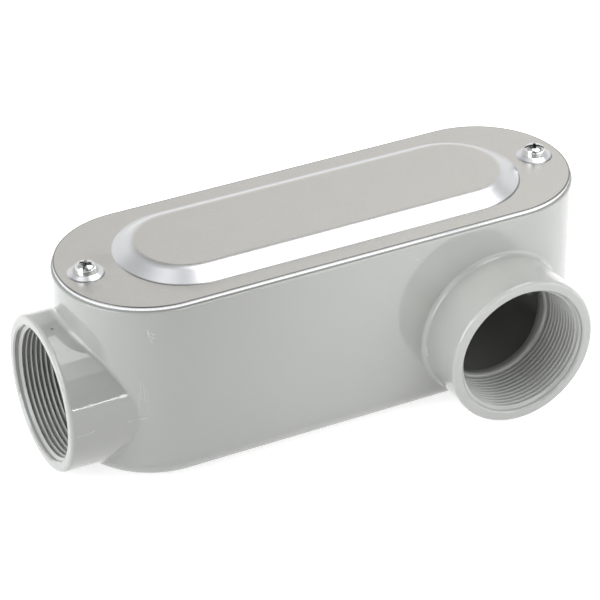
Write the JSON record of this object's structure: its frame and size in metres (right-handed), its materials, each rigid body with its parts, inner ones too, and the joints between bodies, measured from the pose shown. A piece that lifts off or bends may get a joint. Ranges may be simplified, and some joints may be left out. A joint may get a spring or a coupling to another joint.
{
  "type": "conduit body",
  "caption": "Cast conduit body with a long round-ended housing, threaded hubs on its end and its side, and a stamped cover screwed down over a gasket.",
  "frame": {"origin": "middle of the housing's flat back face", "axes": "+X from the end hub to the closed end, -Y out of the side hub, +Z from the back to the cover"},
  "size_m": [0.255, 0.1075, 0.0945],
  "materials": {
    "painted_casting": "gloss",
    "gasket_rubber": "matte",
    "cover_sheet": "satin",
    "zinc_screw": "polished"
  },
  "bodies": {
    "housing": {"body": "painted_casting", "gasket": "gasket_rubber"},
    "lid": {"cover": "cover_sheet"},
    "end_fastener": {"end_screw": "zinc_screw"},
    "closed_fastener": {"closed_screw": "zinc_screw"}
  },
  "joints": [
    {"name": "cover_lift", "type": "slide", "parent": "housing", "child": "lid", "axis": [0, 0, 1], "range_m": [0, 0.05]},
    {"name": "end_screw_travel", "type": "slide", "parent": "lid", "child": "end_fastener", "axis": [0, 0, 1], "range_m": [0, 0.0095]},
    {"name": "closed_screw_travel", "type": "slide", "parent": "lid", "child": "closed_fastener", "axis": [0, 0, 1], "range_m": [0, 0.0095]}
  ]
}
